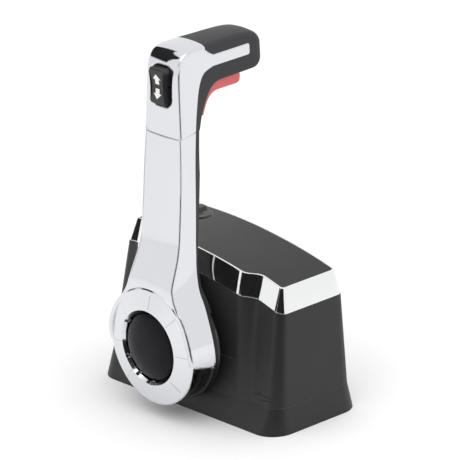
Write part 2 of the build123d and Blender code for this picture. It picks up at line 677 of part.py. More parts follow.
def side_cut(points, x_far=-90.0):
    """Block on the -X side of a curve, seen along Y, through the lever's full width."""
    low, high = points[0], points[-1]
    edge = Spline(*points)
    rest = Polyline(high, (x_far, high[1]), (x_far, low[1]), low)
    face = Plane.XZ * make_face(Wire([edge, *rest.edges()]))
    return extrude(face, 60, both=True)


BRIGHT_EDGE = ((-50.0, 10.0), (-50.0, 60.0), (-48.4, 78.0), (-43.4, 92.0), (-38.8, 104.0),
               (-36.0, 122.0), (-33.4, 155.0), (-30.4, 204.0), (-28.6, 232.0), (-27.0, 290.0))
BACK_EDGE = ((-41.6, 10.0), (-41.5, 78.0), (-38.8, 94.0), (-36.0, 104.0), (-33.9, 115.0),
             (-31.7, 130.0), (-28.4, 152.0), (-24.9, 204.0))
HEAD_EDGE = ((-30.4, 204.0), (-28.6, 226.0), (-26.0, 238.0), (-21.5, 245.0), (-13.0, STRIPE_LOW_Z))


def lever_skin(inset=0.0):
    return wedge(inset) & look_face(inset)


def lever_lower_cover():
    """Bright lower shell: bowed face, drafted sides, flared skirt open at the bottom."""
    shell = (lever_skin() & side_cut(BRIGHT_EDGE)) - lever_skin(COVER_WALL)
    shell &= slab(-80, -20, -60, 60, 5, SPLIT_Z - SEAM_GAP / 2)
    shell -= rod_x(RING_STEP_R + 0.2, -80, -40) & slab(-80, -60, -60, 60, 0, HUB_Z + 60)
    shell -= slab(-90, -20, -60, 60, 0, SKIRT_END_Z)
    notch = Pos(-56, 0, SKIRT_END_Z) * Rot(0, 28, 0) * Box(24, 120, 10)
    return shell - notch


RING_STEP_R = 39.6


def grip_side():
    """Grip and head seen along Y: flat top, round nose, hollow of the hand at the neck."""
    nose = Spline((24, GRIP_TOP_Z - 3.2), (31.4, GRIP_TOP_Z - 7.5), (GRIP_END_X, GRIP_TOP_Z - 16.5))
    tail = Spline((GRIP_END_X - 0.9, GRIP_LOW_Z + 7), (30.6, GRIP_LOW_Z + 1.8), (26, GRIP_LOW_Z + 0.5))
    neck = Spline((-6, GRIP_LOW_Z), (-13.0, GRIP_LOW_Z - 2.6), (-18.4, GRIP_LOW_Z - 10.5),
                  (-23.4, GRIP_LOW_Z - 23), (-24.9, SPLIT_Z))
    top = Spline((-64, GRIP_TOP_Z - 30), (-49.5, GRIP_TOP_Z - 12), (-40, GRIP_TOP_Z - 2.6),
                 (-28, GRIP_TOP_Z), (-5, GRIP_TOP_Z - 0.4), (24, GRIP_TOP_Z - 3.2))
    edges = [top, nose, Line(nose @ 1, tail @ 0), tail, Line(tail @ 1, (-6, GRIP_LOW_Z)), neck,
             Line((-24.9, SPLIT_Z), (-64, SPLIT_Z)), Line((-64, SPLIT_Z), (-64, GRIP_TOP_Z - 30))]
    return make_face(Wire(edges))


def grip_front(inset=0.0):
    """Grip's cross-section: upright sides, a round top, and a root as slim as the arm."""
    h = GRIP_HALF_Y - inset
    arch = ThreePointArc((-h, GRIP_SIDE_Z), (0, GRIP_TOP_Z - inset), (h, GRIP_SIDE_Z))
    right, left = [arm_side(HEAD_JOIN_X, inset + JOIN_EASE, sign)[0] for sign in (1, -1)]
    edges = [arch, Line((h, GRIP_SIDE_Z), right @ 1), right, Line(right @ 0, left @ 0), left,
             Line(left @ 1, (-h, GRIP_SIDE_Z))]
    return make_face(Wire(edges))


def head_front(inset=0.0):
    """Cross-section over the lever's top: the grip's arch run out to the wider arm."""
    rise = GRIP_TOP_Z - GRIP_SIDE_Z
    r = (GRIP_HALF_Y ** 2 + rise ** 2) / (2 * rise) - inset
    z = GRIP_TOP_Z - inset - r
    arch = ThreePointArc((-r, z), (0, z + r), (r, z))
    rest = Polyline((r, z), (r + 8, 190), (-r - 8, 190), (-r, z))
    return make_face(Wire([arch, *rest.edges()]))


def hollow_side(wall):
    """Side view of the room inside the head and grip."""
    top = GRIP_TOP_Z - wall
    low = GRIP_LOW_Z + wall
    end = GRIP_END_X - wall
    return make_face(Polyline(
        (-62, SPLIT_Z - 6), (-62, top - 24), (-47.5, top - 12), (-39, top - 3.4), (-28, top - 0.4),
        (22, top - 3.0), (end - 3.6, top - 7.0), (end, top - 15), (end - 1, low + 4), (end - 6, low + 0.4),
        (-6 - wall / 2, low), (-13.4 - wall / 2, low - 3), (-19 - wall, low - 11), (-23.8 - wall, low - 23),
        (-25.2 - wall, SPLIT_Z - 6), close=True))


def head(inset=0.0):
    """Lever's top and cross grip as one solid."""
    side = hollow_side(inset) if inset else grip_side()
    across = extrude(Plane.XZ * side, 40, both=True)
    bar = Pos(HEAD_JOIN_X, 0, 0) * extrude(Plane.YZ * grip_front(inset), 90)
    dome = Pos(HEAD_JOIN_X - 60, 0, 0) * extrude(Plane.YZ * head_front(inset), 60)
    return (across & bar) + (across & dome & lever_skin(inset))


HEAD_JOIN_X = -26.5


def bright_zone(gap=0.0):
    """Side view of the part of the head that belongs to the bright upper cover."""
    g = gap
    lower = Spline((-30.4 + g, SPLIT_Z), (-28.6 + g, 226), (-26.0 + g, 238 - g), (-21.5 + g, 245 - g),
                   (-13.0 + g, STRIPE_LOW_Z - g))
    high = STRIPE_LOW_Z + STRIPE_H
    upper = Spline((-13.0 + g, high + g), (-17.0 + g, high + 2.6 + g), (-20.5 + g, high + 7 + g),
                   (-25.0 + g, high + 13 + g), (-30 + g, 285))
    rest = Polyline((-30 + g, 285), (-90, 285), (-90, SPLIT_Z), (-30.4 + g, SPLIT_Z))
    edges = [lower, Line(lower @ 1, upper @ 0), upper, *rest.edges()]
    return extrude(Plane.XZ * make_face(Wire(edges)), 40, both=True)


def rocker_window(grow, x0, x1):
    """Rounded opening across the lever's face for the rocker, between two depths."""
    face = Plane.YZ * (Pos(0, ROCKER_Z) * RectangleRounded(ROCKER_W + 2 * grow, ROCKER_L + 2 * grow,
                                                          4 + grow))
    return Pos(x0, 0, 0) * extrude(face, x1 - x0)


def lever_upper_cover():
    """Bright upper shell: face, round top and the root of the inlay on both sides."""
    shell = (head() & bright_zone()) - head(COVER_WALL)
    shell &= slab(-80, 20, -60, 60, SPLIT_Z + SEAM_GAP / 2, 290)
    return shell - rocker_window(CUP_GROW + FIT, -70, -34)


CUP_GROW = 1.15


def lever_back_cover():
    """Dark inner half of the arm, between the bright shell and the housing."""
    body = lever_skin(0.5) & side_cut(BACK_EDGE)
    body -= side_cut(BRIGHT_EDGE_UP, -100)
    body &= slab(-80, -20, -60, 60, HUB_Z + 26, SPLIT_Z)
    body -= rod_x(CORE_R + 0.3, -80, -20)
    hollow = lever_skin(0.5 + BACK_WALL) & slab(-80, -20, -60, 60, 60, SPLIT_Z - 4)
    body -= hollow & side_cut(tuple((x - BACK_WALL, z) for x, z in BACK_EDGE))
    spots = [(z, x, y) for z, x in LEVER_SCREWS for y in (-LEVER_SCREW_Y, LEVER_SCREW_Y)]
    body += [rod_x(3.8, x, x + 18, y, z) & side_cut(BACK_EDGE) for z, x, y in spots]
    for z, x, y in spots:
        body -= rod_x(1.8, x - 5, -20, y, z)
        body -= rod_x(3.5, back_x(z) - 2.2, -20, y, z)
    return body


BACK_WALL = 2.2
BRIGHT_EDGE_UP = tuple((x + 0.05, z) for x, z in BRIGHT_EDGE)
LEVER_SCREWS = ((146.0, -44.3), (186.0, -39.7))      # height and depth of the frame's back
LEVER_SCREW_Y = 6.2
FRAME_HALF_Y = 9.6


def back_x(z):
    """Depth of the back cover's outer surface at height z."""
    pts = [p for p in BACK_EDGE]
    for (x0, z0), (x1, z1) in zip(pts, pts[1:]):
        if z0 <= z <= z1:
            return x0 + (x1 - x0) * (z - z0) / (z1 - z0)
    return pts[-1][0]


def lever_screws():
    """Screws through the back cover into the lever frame."""
    out = []
    for z, x in LEVER_SCREWS:
        for y in (-LEVER_SCREW_Y, LEVER_SCREW_Y):
            seat = back_x(z) - 2.2
            screw = rod_x(1.45, x - 3.5, seat + 0.2, y, z) + rod_x(3.2, seat + 0.02, seat + 1.7, y, z)
            out.append(screw - slab(seat + 0.9, seat + 3, y - 0.4, y + 0.4, z - 4, z + 4))
    return out


def hub_core():
    """Dark drum behind the ring: rolled edge towards the housing, web and shaft boss."""
    drum = turn_x([
        (-59.9, 38.6), (-59.9, 41.2), (-50.4, 41.2), (-50.4, 42.4), (-48.8, CORE_R - 0.1), (-45.4, CORE_R),
        (-42.8, 42.2), (CORE_BACK_X, 39.5), (CORE_BACK_X, 15.0), (-45.0, 14.2), (-45.0, 36.0),
        (-48.0, 38.6),
    ])
    web = turn_x([(-49.0, 8.0), (-49.0, 39.4), (-46.0, 39.4), (-44.5, 14.0), (-44.5, 8.0)])
    boss = turn_x([(-54.4, 8.0), (-54.4, 14.0), (CORE_BACK_X, 15.4), (CORE_BACK_X, 8.0)])
    body = drum + web + boss - rod_x(SHAFT_R + 0.01, -80, -20)
    body -= slab(-70, -54.4, -60, 60, HUB_Z + 16, 120)
    body -= slab(-70, -47.5, -FRAME_HALF_Y - 0.6, FRAME_HALF_Y + 0.6, HUB_Z + 30, 120)
    holes = [rod_x(5.0, -60, -45.5, 27 * cos(radians(a)), HUB_Z + 27 * sin(radians(a)))
             for a in range(30, 390, 60)]
    body -= holes
    body -= (rod_x(60, -52, -40) - rod_x(CORE_R - 1.2, -80, -20)) & slab(-80, -20, -60, 60, HUB_Z + 16, 120)
    relief = Pos(-56, 0, HUB_Z) * Rot(0, 90, 0) * Cylinder(60, 3) - rod_x(40.2, -80, -20)
    body -= relief & slab(-80, -20, -60, -20, 0, SKIRT_END_Z - 1)
    return body


def hub_ring():
    """Satin ring: bevelled mouth, shallow cone face, thin rolled rim, fine division lines."""
    mouth_r = RING_HOLE_R + RING_BEVEL
    rim_r = RING_R - 1.2
    ring = turn_x([
        (RING_FACE_X + 2.4, RING_HOLE_R), (RING_FACE_X, mouth_r), (RING_RIM_X, rim_r),
        (RING_RIM_X + 0.6, RING_R - 0.3), (RING_RIM_X + 1.2, RING_R), (RING_BACK_X, RING_R),
        (RING_BACK_X + 1.6, RING_STEP_R + 0.6), (-64.3, RING_STEP_R), (-62.1, RING_STEP_R),
        (-62.1, RING_STEP_R - 2.0), (-66.0, RING_STEP_R - 2.6), (-69.6, RING_HOLE_R + RING_NECK_T),
        (-60.0, RING_HOLE_R + RING_NECK_T), (-60.0, RING_HOLE_R),
    ])
    slope = degrees(atan2(RING_RIM_X - RING_FACE_X, rim_r - mouth_r))
    middle = Pos((RING_FACE_X + RING_RIM_X) / 2, 0, (rim_r + mouth_r) / 2) * Rot(0, slope, 0)
    lines = [Pos(0, 0, HUB_Z) * Rot(a - 90, 0, 0) * middle * Box(0.5, 0.4, rim_r - mouth_r - 3)
             for a in RING_LINES]
    notches = [Pos(RING_FACE_X + 1.6, 0, HUB_Z) * Rot(a - 90, 0, 0) * Pos(0, 0, RING_HOLE_R + 0.5)
               * Box(4, 2.4, 2.2) for a in RING_NOTCHES]
    return ring - lines - notches


RING_LINES = (42, 94, 135, 178, 222, 266, 312, 354)
RING_NOTCHES = (-28, -60, -92, 32, 88, 152, 212)
RING_BEVEL = 1.6


def neutral_button():
    """Domed push button with a guide flange behind it."""
    r = RING_HOLE_R - BUTTON_GAP
    x = BUTTON_FACE_X
    back = x + 10.0
    edges = [
        Line((x - BUTTON_DOME, 0), (x - BUTTON_DOME, 0.4)),
        Spline((x - BUTTON_DOME, 0.4), (x - BUTTON_DOME * 0.72, r * 0.55), (x + 0.3, r - 3.2), (x + 4.0, r),
               tangents=((0, 1), (1, 0.12))),
        Polyline((x + 4.0, r), (back - 2.2, r), (back - 2.2, RING_HOLE_R - 0.12),
                 (back, RING_HOLE_R - 0.12), (back, r - 2.4), (x + 5.5, r - 2.4), (x + 3.4, r - 5.5),
                 (x + 3.4, 0), (x - BUTTON_DOME, 0)),
    ]
    face = make_face(Wire([e for part in edges for e in part.edges()]))
    return Pos(0, 0, HUB_Z) * revolve(face, Axis.X)


def button_spring():
    """Coil between the hub nut's washer and the button."""
    x0 = BUTTON_FACE_X + 3.4 + 0.7
    x1 = -59.9 - 0.7
    coil = Helix(pitch=(x1 - x0) / 3.5, height=x1 - x0, radius=16.5)
    wire = sweep(Plane(coil @ 0, z_dir=coil % 0) * Circle(0.65), path=coil)
    return Pos(x0, 0, HUB_Z) * Rot(0, 90, 0) * wire


def hub_nut():
    """Hexagon nut on the shaft's end, with its washer face on the lever frame."""
    nut = extrude(Plane.YZ * RegularPolygon(13.0, 6), 2.4)
    washer = rod_x(18.5, -59.9, -59.5)
    return Pos(-62.2, 0, HUB_Z) * nut + washer - rod_x(SHAFT_R + 0.01, -80, -40)


def lever_frame():
    """Cast arm from the shaft to the grip's bar, hidden inside the shells."""
    front = Polyline((-59.4, HUB_Z), (-59.4, 74), (-57.0, 86), (-53.6, 112), (-46.6, 170),
                     (-43.6, 201), (-41, 212), (-37.4, 223.5), (-37.2, 256), (24, 256))
    back = Polyline((24, 256), (24, 249.6), (-33.3, 249.6), (-33.3, 229), (-36, 218), (-38.6, 204),
                    (-41.6, 170), (-48.4, 118), (-54.5, 86), (-54.5, HUB_Z), (-59.4, HUB_Z))
    side = make_face(Wire([*front.edges(), *back.edges()]))
    blade = extrude(Plane.XZ * side, FRAME_HALF_Y, both=True)
    blade -= slab(-36.6, 40, -20, -7, 225, 260) + slab(-36.6, 40, 7, 20, 225, 260)
    eye = rod_x(19.0, -59.4, -54.5)
    flare = Pos(-56.95, 0, HUB_Z + 22) * Rot(0, 0, 0) * Box(4.9, 30, 22)
    body = blade + eye + flare - rod_x(SHAFT_R + 0.01, -80, -20)
    body -= rod_x(RING_HOLE_R + 0.6, -61, -56.8) - rod_x(RING_HOLE_R - 5.0, -61, -56.8)
    body -= [rod_x(1.5, x - 4.5, x + 9, y, z) for z, x in LEVER_SCREWS
             for y in (-LEVER_SCREW_Y, LEVER_SCREW_Y)]
    slots = [extrude(Plane.YZ.offset(-60) * (Pos(0, z) * SlotOverall(22, 6, 90)), 30) for z in (122,)]
    return body - slots


def lean_axis(x, z, length):
    """Bar centre line start and direction of the lock rod: length up from (x, z)."""
    return x + length * sin(radians(LEAN)), z + length * cos(radians(LEAN))


ROD_X = -47.2
ROD_Z = 98.0
ROD_R = 1.9
ROD_LEN = 143.0


def lock_rod():
    """Steel rod down the lever with the lock pin's foot at its lower end."""
    rod = Pos(0, 0, ROD_LEN / 2) * Cylinder(ROD_R, ROD_LEN)
    foot = Pos(0, 0, 3) * Cylinder(ROD_R + 1.2, 6)
    collar = Pos(0, 0, 112) * Cylinder(ROD_R + 1.3, 2)
    return Pos(ROD_X, 0, ROD_Z) * Rot(0, LEAN, 0) * (rod + foot + collar)


def trigger_spring():
    """Small coil on the lock rod above its collar."""
    height = 12.0
    coil = Helix(pitch=2.4, height=height, radius=ROD_R + 0.75)
    wire = sweep(Plane(coil @ 0, z_dir=coil % 0) * Circle(0.35), path=coil)
    return Pos(ROD_X, 0, ROD_Z) * Rot(0, LEAN, 0) * Pos(0, 0, 113.5) * wire


def trigger_side():
    """Trigger seen along Y: bar under the grip and a tail that follows the neck."""
    low = GRIP_LOW_Z - TRIGGER_T
    edge = Spline((-7, low), (-13.5, low - 2.6), (-17.6, low - 8), (-20.4, low - 15))
    points = [(-24.6, low - 15), (-24.6, low + 10), (-17, low + TRIGGER_T + 6), (TRIGGER_END_X - 1.5, low + TRIGGER_T + 6),
              (TRIGGER_END_X, low + 5), (TRIGGER_END_X - 0.6, low + 1.4), (TRIGGER_END_X - 3, low)]
    return make_face(Wire([edge, *Polyline(edge @ 1, *points, (-7, low)).edges()]))


def trigger_slot():
    """Room in the grip for the trigger over its whole travel."""
    blank = extrude(Plane.XZ * trigger_side(), TRIGGER_HALF_Y + TRIGGER_FIT, both=True)
    room = [Pos(lift * sin(radians(LEAN)) + dx, 0, lift * cos(radians(LEAN)) - TRIGGER_FIT) * blank
            for lift in (0, TRIGGER_TRAVEL / 2, TRIGGER_TRAVEL + TRIGGER_FIT)
            for dx in (-TRIGGER_FIT, TRIGGER_FIT)]
    return room[0] + room[1:]


def lock_trigger():
    """Red trigger with a bridge through the neck to the lock rod."""
    bar = extrude(Plane.XZ * trigger_side(), TRIGGER_HALF_Y, both=True)
    edges = bar.edges().filter_by(Axis.Y).group_by(Axis.Z)[0]
    hollow = extrude(Plane.XZ * offset(trigger_side(), -1.8), TRIGGER_HALF_Y - 1.8, both=True)
    hollow &= slab(-60, 60, -40, 40, GRIP_LOW_Z - 3, 300)
    bridge = slab(-31.5, -20, -4, 4, GRIP_LOW_Z + 0.8, GRIP_LOW_Z + 4.8)
    body = fillet(edges, 0.6) + bridge
    return body - lock_bore()


def lock_bore():
    rod = Pos(0, 0, ROD_LEN / 2) * Cylinder(ROD_R + 0.01, ROD_LEN)
    return Pos(ROD_X, 0, ROD_Z) * Rot(0, LEAN, 0) * rod


def grip():
    """Dark moulded grip with its neck, hollow inside, open below for the trigger."""
    body = head() - bright_zone(FIT)
    body -= head(GRIP_WALL) & slab(-23, 60, -40, 40, GRIP_LOW_Z - 20, 290)
    body &= slab(-80, 60, -60, 60, SPLIT_Z + SEAM_GAP, 290)
    body -= trigger_slot()
    body -= slab(-40, -14, -4.6, 4.6, GRIP_LOW_Z, 260)
    body -= slab(-60, -30, -8, 8, 190, 290)
    for lift in (0, TRIGGER_TRAVEL):
        body -= Pos(lift * sin(radians(LEAN)), 0, 0) * lock_bore_wide()
    return body - stripe_prism(0.06, 1.2)


def lock_bore_wide():
    rod = Pos(0, 0, ROD_LEN / 2 + 4) * Cylinder(ROD_R + 0.8, ROD_LEN + 8)
    return Pos(ROD_X, 0, ROD_Z) * Rot(0, LEAN, 0) * rod


def stripe_prism(grow, depth):
    """Both inlay strips, let into the grip's sides."""
    z = STRIPE_LOW_Z + STRIPE_H / 2
    bar = Rectangle(STRIPE_END_X + 13, STRIPE_H + 2 * grow, align=(Align.MAX, Align.CENTER))
    face = Pos(STRIPE_END_X - 3, z) * bar
    face += Pos(STRIPE_END_X - 3, z) * RectangleRounded(6 + 2 * grow, STRIPE_H + 2 * grow, 2.6)
    both = []
    for s in (-1, 1):
        strip = extrude(Plane.XZ * face, depth / 2, both=True)
        both.append(Pos(0, s * (GRIP_HALF_Y - depth / 2), 0) * strip)
    return both


def grip_inlay():
    """Bright strip let into each side of the grip, running on from the upper cover."""
    clip = slab(-13 + FIT + 0.05, 60, -60, 60, 190, 290)
    return [(s & clip) for s in stripe_prism(0, 1.1)]


ROCKER_X = -43.6


def rocker_cup():
    """Dark frame that lines the rocker's window and holds its pin."""
    outer = rocker_window(CUP_GROW, -60, -37.4) & lever_skin(-0.35)
    inner = rocker_window(0.35, -60, -39.0) + (Pos(ROCKER_X, 0, ROCKER_Z) * Rot(90, 0, 0)
                                             * Cylinder(ROCKER_L / 2 + 0.5, ROCKER_W + 0.7))
    pin_bore = Pos(ROCKER_X, 0, ROCKER_Z) * Rot(90, 0, 0) * Cylinder(1.51, ROCKER_W + 2.2)
    return outer - (inner & slab(-80, -38.4, -40, 40, 200, 280)) - pin_bore


def trim_rocker():
    """Rocker with waisted sides and raised ends, round-backed about its pin."""
    h = ROCKER_L / 2
    w = ROCKER_W / 2
    side = ThreePointArc((w, -h + 4), (w - 1.1, 0), (w, h - 4))
    left = ThreePointArc((-w, h - 4), (-w + 1.1, 0), (-w, -h + 4))
    k = 4 * (1 - sqrt(0.5))
    edges = [side, ThreePointArc((w, h - 4), (w - k, h - k), (w - 4, h)), Line((w - 4, h), (-w + 4, h)),
             ThreePointArc((-w + 4, h), (-w + k, h - k), (-w, h - 4)), left,
             ThreePointArc((-w, -h + 4), (-w + k, -h + k), (-w + 4, -h)), Line((-w + 4, -h), (w - 4, -h)),
             ThreePointArc((w - 4, -h), (w - k, -h + k), (w, -h + 4))]
    block = extrude(Plane.YZ * make_face(Wire(edges)), 8.6)
    block = Pos(-49.9, 0, ROCKER_Z) * block
    front = block.faces().sort_by(Axis.X)[0].edges()
    block = chamfer(front, 1.3)
    dish = Pos(-49.9 - 38.9, 0, ROCKER_Z) * Rot(90, 0, 0) * Cylinder(40, ROCKER_W - 4.5)
    barrel = Pos(ROCKER_X, 0, ROCKER_Z) * Rot(90, 0, 0) * Cylinder(h + 0.2, 60)
    pin = Pos(ROCKER_X, 0, ROCKER_Z) * Rot(90, 0, 0) * Cylinder(1.56, 60)
    return (block & barrel) - dish - pin


def rocker_pin():
    return Pos(ROCKER_X, 0, ROCKER_Z) * Rot(90, 0, 0) * Cylinder(1.5, ROCKER_W + 2.0)


def write(name, solids):
    """One STEP per node."""
    parts = solids if isinstance(solids, list) else [solids]
    parts = [s for p in parts for s in p.solids()]
    export_step(parts[0] if len(parts) == 1 else Compound(children=parts), "parts/%s.step" % name)


NODES = {
    "base": base, "deck_gasket": deck_gasket, "upper_cover": upper_cover, "chrome_trim": chrome_trim,
    "lid_panel": lid_panel, "cover_screws": cover_screws, "stop_bezel": stop_bezel,
    "stop_nut": stop_nut, "stop_plunger": stop_plunger, "chassis": chassis, "shaft_bushes": bushes,
    "chassis_screws": chassis_screws, "shaft_seal": shaft_seal, "detent_spring": detent_spring,
    "detent_roller": detent_roller, "cable_anchor": cable_anchor, "cable_clamp": cable_clamp,
    "clamp_screw": clamp_screw, "neutral_switch": neutral_switch, "main_shaft": main_shaft,
    "shaft_collar": shaft_collar, "detent_disc": detent_disc, "drive_gear": drive_gear,
    "throttle_arm": throttle_arm, "throttle_pin": throttle_pin, "driven_gear": driven_gear,
    "second_axle": second_axle, "shift_arm": shift_arm, "shift_pin": shift_pin,
    "hub_core": hub_core, "hub_ring": hub_ring, "hub_nut": hub_nut, "lever_frame": lever_frame,
    "lever_lower_cover": lever_lower_cover, "lever_upper_cover": lever_upper_cover,
    "lever_back_cover": lever_back_cover, "lever_screws": lever_screws, "grip": grip,
    "grip_inlay": grip_inlay, "rocker_cup": rocker_cup, "rocker_pin": rocker_pin,
    "trim_rocker": trim_rocker, "neutral_button": neutral_button, "button_spring": button_spring,
    "lock_trigger": lock_trigger, "lock_rod": lock_rod, "trigger_spring": trigger_spring,
}

if __name__ == "__main__":
    os.makedirs("parts", exist_ok=True)
    for name, make in NODES.items():
        write(name, make())
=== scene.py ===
import bmesh
import bpy
from math import cos, pi, radians, sin, sqrt
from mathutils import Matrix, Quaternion, Vector


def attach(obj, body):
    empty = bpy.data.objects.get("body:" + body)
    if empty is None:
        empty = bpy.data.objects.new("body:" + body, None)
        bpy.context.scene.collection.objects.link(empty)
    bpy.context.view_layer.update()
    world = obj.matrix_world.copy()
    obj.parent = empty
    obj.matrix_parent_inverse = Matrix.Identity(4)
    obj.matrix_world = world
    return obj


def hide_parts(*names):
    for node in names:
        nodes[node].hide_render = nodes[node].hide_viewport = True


# Boat throttle control: black top-mount housing, chromed lever on a round side hub, cross grip.

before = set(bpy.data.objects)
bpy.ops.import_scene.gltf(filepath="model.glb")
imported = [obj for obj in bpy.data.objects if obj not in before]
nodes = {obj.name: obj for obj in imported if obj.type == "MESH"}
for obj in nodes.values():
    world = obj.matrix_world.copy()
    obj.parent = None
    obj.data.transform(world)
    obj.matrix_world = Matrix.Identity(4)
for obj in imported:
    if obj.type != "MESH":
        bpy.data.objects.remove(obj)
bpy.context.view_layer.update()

# ---- The room ---------------------------------------------------------------------------------
# A plain white floor under an even white sky, with one wide soft box overhead.  Dark cards, seen
# only in reflections, draw the dark lines and stretches in the bright plating.

CAMERA_AZIMUTH = radians(-40.871)
CAMERA_HEIGHT_ANGLE = radians(20.392)
CAMERA_DISTANCE = 3.48614
CAMERA_ROLL = radians(-2.819)
SENSOR_WIDTH = 36.0
FOCAL_PIXELS = 5000.0
FRAME_PIXELS = 460.0
AIM = Vector((0.0, 0.0, 0.130))
AIM_PIXEL = (220.194, 216.933)

scene = bpy.context.scene
scene.view_settings.view_transform = "Standard"
back = Vector((sin(CAMERA_AZIMUTH) * cos(CAMERA_HEIGHT_ANGLE),
               -cos(CAMERA_AZIMUTH) * cos(CAMERA_HEIGHT_ANGLE),
               sin(CAMERA_HEIGHT_ANGLE)))
roll = Quaternion((0, 0, 1), CAMERA_ROLL)
turn = (-back).to_track_quat("-Z", "Y") @ roll
half_frame = FRAME_PIXELS / 2
offset = turn @ Vector((half_frame - AIM_PIXEL[0], AIM_PIXEL[1] - half_frame, 0.0))
camera_data = bpy.data.cameras.new("camera")
camera_data.sensor_width = SENSOR_WIDTH
camera_data.lens = SENSOR_WIDTH * FOCAL_PIXELS / FRAME_PIXELS
camera_data.clip_start = 0.05
camera_data.clip_end = 60.0
camera = bpy.data.objects.new("camera", camera_data)
scene.collection.objects.link(camera)
camera.location = AIM + back * CAMERA_DISTANCE
sight = AIM + offset * (CAMERA_DISTANCE / FOCAL_PIXELS) - camera.location
camera.rotation_mode = "QUATERNION"
camera.rotation_quaternion = sight.to_track_quat("-Z", "Y") @ roll
scene.camera = camera

sky = bpy.data.worlds.new("sky")
scene.world = sky
sky.use_nodes = True
sky.node_tree.nodes["Background"].inputs["Color"].default_value = (1.0, 1.0, 1.0, 1.0)
sky.node_tree.nodes["Background"].inputs["Strength"].default_value = 1.0

BOX_PLACE = Vector((-0.5, -0.6, 1.6))
BOX_TARGET = Vector((0.0, 0.0, 0.1))
BOX_SIDE = 1.8
BOX_WATTS = 8.0

box_data = bpy.data.lights.new("box_over", "AREA")
box_data.shape = "RECTANGLE"
box_data.size = BOX_SIDE
box_data.size_y = BOX_SIDE
box_data.energy = BOX_WATTS
box = bpy.data.objects.new("box_over", box_data)
box.location = BOX_PLACE
box.rotation_euler = (BOX_TARGET - BOX_PLACE).to_track_quat("-Z", "Y").to_euler()
scene.collection.objects.link(box)


def plain_mesh(name, corners, faces):
    """A mesh object from corner points and faces, linked into the scene."""
    mesh = bpy.data.meshes.new(name)
    mesh.from_pydata(corners, [], faces)
    thing = bpy.data.objects.new(name, mesh)
    scene.collection.objects.link(thing)
    return thing


def plain_finish(name, colour, roughness, metallic=0.0):
    """A material whose Principled shader carries the finish's own values."""
    finish = bpy.data.materials.new(name)
    finish.use_nodes = True
    shader = finish.node_tree.nodes["Principled BSDF"]
    shader.inputs["Base Color"].default_value = (*colour, 1.0)
    shader.inputs["Roughness"].default_value = roughness
    shader.inputs["Metallic"].default_value = metallic
    return finish


FLOOR_HALF = 6.0
floor = plain_mesh("floor",
                   [(-FLOOR_HALF, -FLOOR_HALF, 0), (FLOOR_HALF, -FLOOR_HALF, 0),
                    (FLOOR_HALF, FLOOR_HALF, 0), (-FLOOR_HALF, FLOOR_HALF, 0)], [(0, 1, 2, 3)])
floor.data.materials.append(plain_finish("floor_white", (0.97, 0.97, 0.97), 0.9))

CARD_STEPS = 24


def dark_card(name, start, end, low, high, radius, centre=(0.0, 0.0)):
    """A black upright band on an arc round a centre, from one azimuth to another in degrees."""
    turns = [radians(start + (end - start) * k / CARD_STEPS) for k in range(CARD_STEPS + 1)]
    foot = [(centre[0] + radius * cos(a), centre[1] + radius * sin(a)) for a in turns]
    corners = [(x, y, low) for x, y in foot] + [(x, y, high) for x, y in foot]
    row = len(foot)
    faces = [(k, k + 1, k + row + 1, k + row) for k in range(CARD_STEPS)]
    band = plain_mesh(name, corners, faces)
    band.data.materials.append(plain_finish(name + "_black", (0.004, 0.004, 0.004), 0.9))
    band.visible_camera = False
    band.visible_diffuse = False
    band.visible_shadow = False


# Two far cards shade the arm's side and the head's corner; three close ones darken the trim's
# front and rear corners and the foot of the hub's skirt.
dark_card("card_back", start=76, end=139, low=0.42, high=1.45, radius=1.0)
dark_card("card_corner", start=190, end=212, low=0.50, high=1.15, radius=1.0)
dark_card("card_trim", start=149, end=180, low=0.104, high=0.150, radius=0.09,
          centre=(-0.049, -0.062))
dark_card("card_rear", start=108, end=136, low=0.10, high=0.16, radius=0.12,
          centre=(-0.035, 0.085))
dark_card("card_near", start=200, end=280, low=0.002, high=0.245, radius=0.13,
          centre=(-0.049, -0.017))


# ---- Base, cover and gasket -------------------------------------------------------------------
# The base and the casing over it are injection moulded in black plastic with a fine spark-eroded
# grain.  The casing drops over the base and is held by screws from below; a rubber gasket seals
# the base to the deck.

def wire(tree, kind, inputs):
    """A shader node, each input set to a value or joined to another node's output."""
    part = tree.nodes.new("ShaderNode" + kind)
    for socket, value in inputs.items():
        if isinstance(value, bpy.types.NodeSocket):
            tree.links.new(value, part.inputs[socket])
        else:
            part.inputs[socket].default_value = value
    return part


DRIFT_DARK = 0.85
DRIFT_LIGHT = 1.18


def grained_plastic(name, colour, rough, grain, depth, specular=0.5):
    """Moulded plastic: so many bumps per metre, uneven gloss and a faint drift of colour."""
    finish = plain_finish(name, colour, rough[1])
    tree = finish.node_tree
    shader = tree.nodes["Principled BSDF"]
    shader.inputs["Specular IOR Level"].default_value = specular
    place = wire(tree, "TexCoord", {}).outputs["Object"]
    fine = wire(tree, "TexNoise", {"Vector": place, "Scale": grain, "Detail": 3.0})
    broad = wire(tree, "TexNoise", {"Vector": place, "Scale": 24.0, "Detail": 4.0})
    gloss = wire(tree, "MapRange", {"Value": broad.outputs["Fac"], "From Min": 0.3, "From Max": 0.7,
                                    "To Min": rough[0], "To Max": rough[1]})
    drift = wire(tree, "ValToRGB", {"Fac": broad.outputs["Fac"]})
    drift.color_ramp.elements[0].color = (*[c * DRIFT_DARK for c in colour], 1.0)
    drift.color_ramp.elements[1].color = (*[c * DRIFT_LIGHT for c in colour], 1.0)
    bump = wire(tree, "Bump", {"Height": fine.outputs["Fac"], "Strength": 0.6, "Distance": depth})
    tree.links.new(gloss.outputs["Result"], shader.inputs["Roughness"])
    tree.links.new(drift.outputs["Color"], shader.inputs["Base Color"])
    tree.links.new(bump.outputs["Normal"], shader.inputs["Normal"])
    return finish


